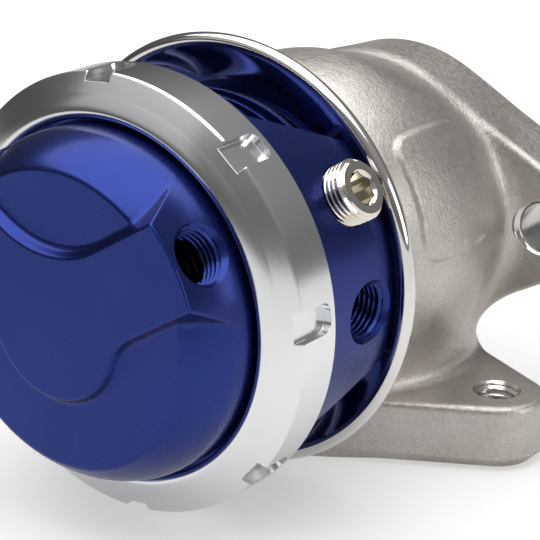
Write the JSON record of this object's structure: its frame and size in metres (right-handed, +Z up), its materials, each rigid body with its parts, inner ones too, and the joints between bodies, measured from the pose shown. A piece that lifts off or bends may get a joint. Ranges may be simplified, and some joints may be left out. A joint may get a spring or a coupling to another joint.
{
  "type": "external turbo wastegate",
  "caption": "External poppet wastegate: blue domed diaphragm actuator with a notched locking collar and dished heat shield on a cast elbow valve housing with two two-bolt flanges.",
  "frame": {"origin": "centre of the outlet port on the outlet gasket face, which the part stands on", "axes": "+Z up, away from the outlet; +Y out of the inlet port, along the valve's axis; +X along the flange bolts"},
  "size_m": [0.093, 0.1, 0.0764],
  "materials": {
    "cast_steel": "bead-blasted stainless casting",
    "machined_steel": "fine turned stainless",
    "bronze": "turned bronze",
    "gasket_board": "matt insulating board",
    "polished_steel": "polished stainless sheet",
    "blue_anodised": "satin blue anodised",
    "turned_aluminium": "fine turned clear anodised",
    "plain_aluminium": "turned",
    "nickel_plate": "bright nickel plate",
    "screw_steel": "zinc plated steel",
    "spring_steel": "oiled spring wire",
    "diaphragm_rubber": "fabric-backed rubber",
    "black_seal": "matt black"
  },
  "bodies": {
    "housing": {"valve_housing": "cast_steel", "seat_ring": "machined_steel", "guide_bush": "bronze", "housing_gasket": "gasket_board", "body_gasket": "gasket_board", "heat_shield": "polished_steel", "actuator_body": "blue_anodised", "body_screws": "screw_steel", "port_plug": "nickel_plate", "stem_seal": "black_seal", "seal_retainer": "screw_steel", "diaphragm": "diaphragm_rubber", "outer_spring": "spring_steel", "inner_spring": "spring_steel"},
    "valve": {"poppet_valve": "machined_steel", "lower_plate": "plain_aluminium", "piston": "plain_aluminium", "stem_washer": "screw_steel", "stem_nut": "screw_steel"},
    "cap": {"top_cap": "blue_anodised"},
    "collar": {"locking_collar": "turned_aluminium"}
  },
  "joints": [
    {"name": "valve_lift", "type": "slide", "parent": "housing", "child": "valve", "axis": [0, -1, 0], "range_m": [0, 0.0095], "stiffness_N_per_m": 8000, "springref_m": -0.02, "deforming": ["outer_spring", "inner_spring", "diaphragm"]},
    {"name": "cap_clock", "type": "hinge", "parent": "housing", "child": "cap", "pos_m": [0, -0.0645, 0.0383], "axis": [0, 1, 0], "continuous": true},
    {"name": "collar_turn", "type": "hinge", "parent": "housing", "child": "collar", "pos_m": [0, -0.0545, 0.0383], "axis": [0, 1, 0], "range_deg": [0, 45]}
  ]
}
